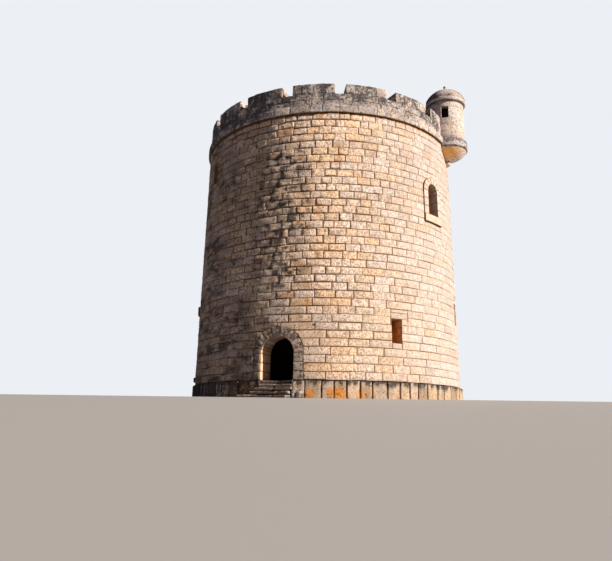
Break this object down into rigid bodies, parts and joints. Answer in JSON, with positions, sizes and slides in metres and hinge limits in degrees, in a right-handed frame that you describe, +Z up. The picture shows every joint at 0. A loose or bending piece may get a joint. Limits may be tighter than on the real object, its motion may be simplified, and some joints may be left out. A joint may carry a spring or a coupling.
{
  "type": "martello tower",
  "caption": "Round battered stone watch tower with merlons, a bracketed sentry turret, an arched doorway with steps, slit windows and an arched window.",
  "frame": {"origin": "on the tower's axis at ground level", "axes": "+Z up along the tower's axis, -Y out through the doorway, +X toward the sentry turret"},
  "size_m": [15.13, 15.26, 17.576],
  "materials": {
    "ashlar": "matte, coursed blocks",
    "dressed_stone": "matte, dressed",
    "plinth_stone": "matte, weathered dark",
    "parapet_stone": "matte, weathered",
    "turret_stone": "matte, smooth",
    "step_stone": "matte, worn",
    "floor_stone": "matte"
  },
  "bodies": {
    "root": {"door_arch": "dressed_stone", "door_jambs": "dressed_stone", "ground_floor": "floor_stone", "jutting_stones": "ashlar", "lower_wall_1": "ashlar", "lower_wall_2": "ashlar", "lower_wall_3": "ashlar", "lower_wall_4": "ashlar", "lower_wall_5": "ashlar", "lower_wall_6": "ashlar", "lower_wall_7": "ashlar", "merlons": "parapet_stone", "parapet_1": "parapet_stone", "parapet_2": "parapet_stone", "parapet_3": "parapet_stone", "parapet_4": "parapet_stone", "plinth_1": "plinth_stone", "plinth_2": "plinth_stone", "plinth_3": "plinth_stone", "plinth_4": "plinth_stone", "slit_columns": "ashlar", "slit_lintels": "dressed_stone", "step_1": "step_stone", "step_2": "step_stone", "step_3": "step_stone", "step_4": "step_stone", "step_cheek": "step_stone", "string_course": "ashlar", "terrace": "floor_stone", "threshold": "step_stone", "turret_corbel": "turret_stone", "turret_cornice": "turret_stone", "turret_dome": "turret_stone", "turret_finial": "turret_stone", "turret_pendant": "turret_stone", "turret_ring": "turret_stone", "turret_wall": "turret_stone", "upper_floor": "floor_stone", "upper_wall_1": "ashlar", "upper_wall_2": "ashlar", "upper_wall_3": "ashlar", "upper_wall_4": "ashlar", "upper_wall_5": "ashlar", "upper_wall_6": "ashlar", "upper_wall_7": "ashlar", "upper_wall_8": "ashlar", "wall_over_door": "ashlar", "window_columns": "ashlar", "window_sills": "dressed_stone", "window_surrounds": "dressed_stone"}
  },
  "joints": []
}
